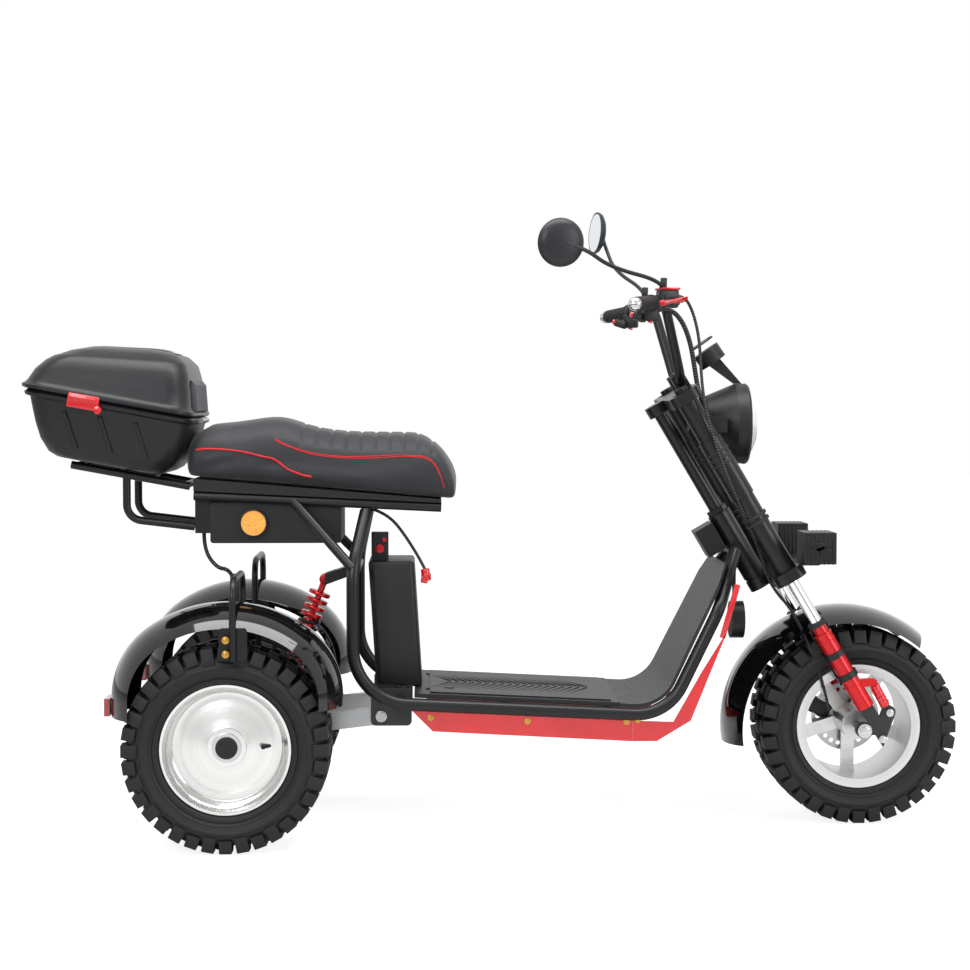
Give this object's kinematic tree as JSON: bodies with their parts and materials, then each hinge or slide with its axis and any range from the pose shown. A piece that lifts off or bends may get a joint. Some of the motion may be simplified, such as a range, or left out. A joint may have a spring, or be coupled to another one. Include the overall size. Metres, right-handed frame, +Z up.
{
  "type": "electric trike",
  "caption": "Step-through electric trike with two wide driven rear wheels, one steered front wheel, a long seat and a lidded top box.",
  "frame": {"origin": "on the ground under the middle of the trike", "axes": "+X forward, +Y to the rider's left, +Z up"},
  "size_m": [2.1385, 0.876, 1.444],
  "materials": {
    "black_tube": "satin powder coat",
    "gloss_black": "glossy",
    "red_paint": "gloss enamel",
    "black_plastic": "moulded satin",
    "box_abs": "moulded grain",
    "seat_leather": "matt leatherette",
    "soft_rubber": "matt",
    "tyre_rubber": "matt",
    "chrome": "polished",
    "wheel_aluminium": "machined",
    "steel": "bright zinc",
    "dark_casting": "satin grey",
    "red_anodised": "anodised",
    "lamp_glass": "clear",
    "amber_lens": "moulded lens",
    "red_lens": "moulded lens"
  },
  "bodies": {
    "frame": {"main_frame": "black_tube", "deck_board": "black_plastic", "riser_board": "black_plastic", "side_panel_left": "red_paint", "side_panel_right": "red_paint", "front_panel_left": "red_paint", "front_panel_right": "red_paint", "battery_box": "black_plastic", "battery_lock": "black_plastic", "controller_box": "black_plastic", "seat_pan": "black_plastic", "seat": "seat_leather", "rack": "black_tube", "top_box": "box_abs", "box_hinge": "steel", "swingarm": "dark_casting", "pivot_plates": "dark_casting", "rear_shock": "red_anodised", "rear_fender_left": "gloss_black", "rear_fender_right": "gloss_black", "fender_loop_left": "black_tube", "fender_loop_right": "black_tube", "amber_reflector_left": "amber_lens", "amber_reflector_right": "amber_lens", "tail_reflector_left": "red_lens", "tail_reflector_right": "red_lens", "horn": "black_plastic", "neck_box": "black_plastic"},
    "box_lid": {"top_box_lid": "box_abs", "backrest": "soft_rubber", "box_latch_left": "red_paint", "box_latch_right": "red_paint"},
    "steering": {"fork_clamps": "black_tube", "fork_covers": "black_tube", "fork_stanchions": "chrome", "fork_lowers": "red_anodised", "fork_links": "dark_casting", "link_shocks": "red_anodised", "front_fender": "gloss_black", "fender_clamps": "black_plastic", "handlebar": "black_tube", "grip_left": "soft_rubber", "grip_right": "soft_rubber", "headlight_housing": "black_plastic", "headlight_lens": "lamp_glass", "gauge": "black_plastic", "aux_lamp_left": "black_plastic", "aux_lamp_right": "black_plastic", "mirror_left": "black_plastic", "mirror_right": "black_plastic"},
    "front_wheel": {"front_tyre": "tyre_rubber", "front_rim": "wheel_aluminium", "brake_disc": "steel"},
    "rear_wheel_left": {"rear_tyre_left": "tyre_rubber", "rear_rim_left": "wheel_aluminium", "hub_cap_left": "black_plastic"},
    "rear_wheel_right": {"rear_tyre_right": "tyre_rubber", "rear_rim_right": "wheel_aluminium", "hub_cap_right": "black_plastic"}
  },
  "joints": [
    {"name": "steering_turn", "type": "hinge", "parent": "frame", "child": "steering", "pos_m": [0.598, 0, 0.6], "axis": [-0.509, 0, 0.8607], "range_deg": [-32, 32]},
    {"name": "lid_open", "type": "hinge", "parent": "frame", "child": "box_lid", "pos_m": [-0.65716, 0, 0.92654], "axis": [0, 1, 0], "range_deg": [0, 75]},
    {"name": "front_wheel_spin", "type": "hinge", "parent": "steering", "child": "front_wheel", "pos_m": [0.845, 0, 0.225], "axis": [0, 1, 0], "continuous": true},
    {"name": "rear_left_spin", "type": "hinge", "parent": "frame", "child": "rear_wheel_left", "pos_m": [-0.576, 0.275, 0.225], "axis": [0, 1, 0], "continuous": true},
    {"name": "rear_right_spin", "type": "hinge", "parent": "frame", "child": "rear_wheel_right", "pos_m": [-0.576, -0.275, 0.225], "axis": [0, 1, 0], "continuous": true}
  ]
}
